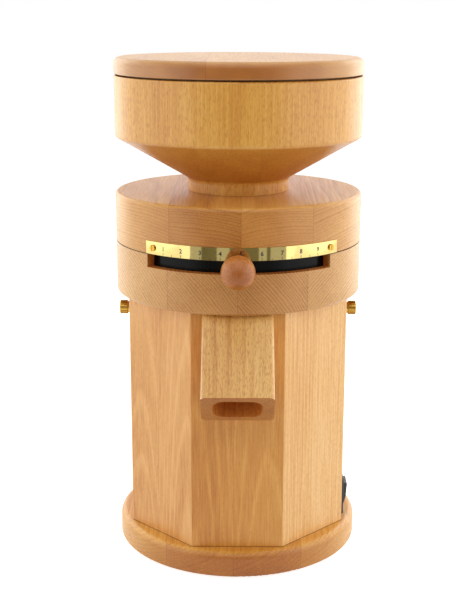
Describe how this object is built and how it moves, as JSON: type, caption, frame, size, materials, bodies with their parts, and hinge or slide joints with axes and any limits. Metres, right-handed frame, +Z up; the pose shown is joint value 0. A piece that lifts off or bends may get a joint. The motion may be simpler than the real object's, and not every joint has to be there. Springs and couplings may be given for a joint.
{
  "type": "grain mill",
  "caption": "Electric stone grain mill: octagonal wooden housing on a round base, round head with fineness lever and brass scale, turned hopper with lid, slanted flour spout.",
  "frame": {"origin": "on the grinding axis at table level, in the plane of the feet", "axes": "+Z up along the grinding axis, -Y to the front where the spout is, +X to the right seen from the front"},
  "size_m": [0.211, 0.2545, 0.4262],
  "materials": {
    "beech": "oiled beech, satin",
    "plywood": "raw birch plywood",
    "brass": "polished brass",
    "steel": "zinc-plated or bright steel",
    "millstone": "corundum-ceramic stone, rough",
    "black_polymer": "turned black polymer",
    "switch_plastic": "moulded black",
    "felt": "wool felt",
    "rubber": "matt black",
    "cast_aluminium": "die-cast",
    "laminated_steel": "varnished laminations",
    "copper": "enamelled copper wire",
    "can": "drawn can",
    "lead_insulation": "insulated leads"
  },
  "bodies": {
    "housing": {"base_plate": "beech", "rubber_feet": "rubber", "base_screws": "steel", "panel_front": "beech", "panel_front_right": "beech", "panel_right": "beech", "panel_rear_right": "beech", "panel_rear": "beech", "panel_rear_left": "beech", "panel_left": "beech", "panel_front_left": "beech", "spout": "beech", "spout_screws": "steel", "motor_deck": "plywood", "chamber_floor": "beech", "floor_screws": "steel", "shaft_seal": "felt", "stator_core": "laminated_steel", "coil_heads": "copper", "upper_bell": "cast_aluminium", "lower_bell": "cast_aluminium", "bearing_outer_rings": "steel", "bearing_balls": "steel", "motor_bolts": "steel", "thumb_inserts": "brass", "switch_body": "switch_plastic", "inlet_body": "switch_plastic", "inlet_pins": "brass", "inlet_screws": "steel", "capacitor": "can", "capacitor_clamp": "steel", "inner_leads": "lead_insulation"},
    "head": {"head_lower_ring": "beech", "head_upper_disc": "beech", "head_dowels": "beech", "guide_pins": "steel", "scale_strip": "brass", "scale_screws": "brass"},
    "fineness_lever": {"adjusting_ring": "black_polymer", "lever_rod": "steel", "ball_knob": "beech"},
    "upper_stone": {"stone_carrier": "black_polymer", "stator_stone": "millstone"},
    "drive": {"runner_stone": "millstone", "runner_hub": "cast_aluminium", "flour_sweeper": "steel", "runner_washer": "steel", "runner_bolt": "steel", "motor_shaft": "steel", "rotor_core": "laminated_steel", "bearing_inner_rings": "steel", "cooling_fan": "switch_plastic"},
    "hopper": {"hopper": "beech", "hopper_peg": "beech"},
    "lid": {"hopper_lid": "beech"},
    "left_washer": {"thumb_washer_left": "brass"},
    "left_thumb_screw": {"thumb_screw_left": "brass"},
    "right_washer": {"thumb_washer_right": "brass"},
    "right_thumb_screw": {"thumb_screw_right": "brass"},
    "rocker": {"switch_rocker": "switch_plastic"}
  },
  "joints": [
    {"name": "head_lift", "type": "slide", "parent": "housing", "child": "head", "axis": [0, 0, 1], "range_m": [0, 0.08]},
    {"name": "hopper_lift", "type": "slide", "parent": "head", "child": "hopper", "axis": [0, 0, 1], "range_m": [0, 0.05]},
    {"name": "lid_lift", "type": "slide", "parent": "hopper", "child": "lid", "axis": [0, 0, 1], "range_m": [0, 0.06]},
    {"name": "fineness", "type": "hinge", "parent": "head", "child": "fineness_lever", "pos_m": [0, 0, 0.26805], "axis": [0, 0, 1], "range_deg": [-42, 42]},
    {"name": "stone_lift", "type": "slide", "parent": "head", "child": "upper_stone", "axis": [0, 0, 1], "range_m": [-0.0004, 0.0004]},
    {"name": "runner_spin", "type": "hinge", "parent": "housing", "child": "drive", "pos_m": [0, 0, 0.2], "axis": [0, 0, 1], "continuous": true},
    {"name": "rocker_tilt", "type": "hinge", "parent": "housing", "child": "rocker", "pos_m": [0.088, -0.02, 0.0452], "axis": [0, 1, 0], "range_deg": [-20, 0]},
    {"name": "left_washer_slide", "type": "slide", "parent": "housing", "child": "left_washer", "axis": [-1, 0, 0], "range_m": [0, 0.0041]},
    {"name": "left_screw_turn", "type": "hinge", "parent": "left_washer", "child": "left_thumb_screw", "pos_m": [-0.092, 0, 0.21], "axis": [-1, 0, 0], "range_deg": [0, 1440]},
    {"name": "right_washer_slide", "type": "slide", "parent": "housing", "child": "right_washer", "axis": [1, 0, 0], "range_m": [0, 0.0041]},
    {"name": "right_screw_turn", "type": "hinge", "parent": "right_washer", "child": "right_thumb_screw", "pos_m": [0.092, 0, 0.21], "axis": [1, 0, 0], "range_deg": [0, 1440]}
  ],
  "couplings": [
    {"joint": "stone_lift", "follows": "fineness", "m_per_rad": 0.00047746},
    {"joint": "left_washer_slide", "follows": "left_screw_turn", "m_per_rad": 0.00015915},
    {"joint": "right_washer_slide", "follows": "right_screw_turn", "m_per_rad": 0.00015915}
  ]
}
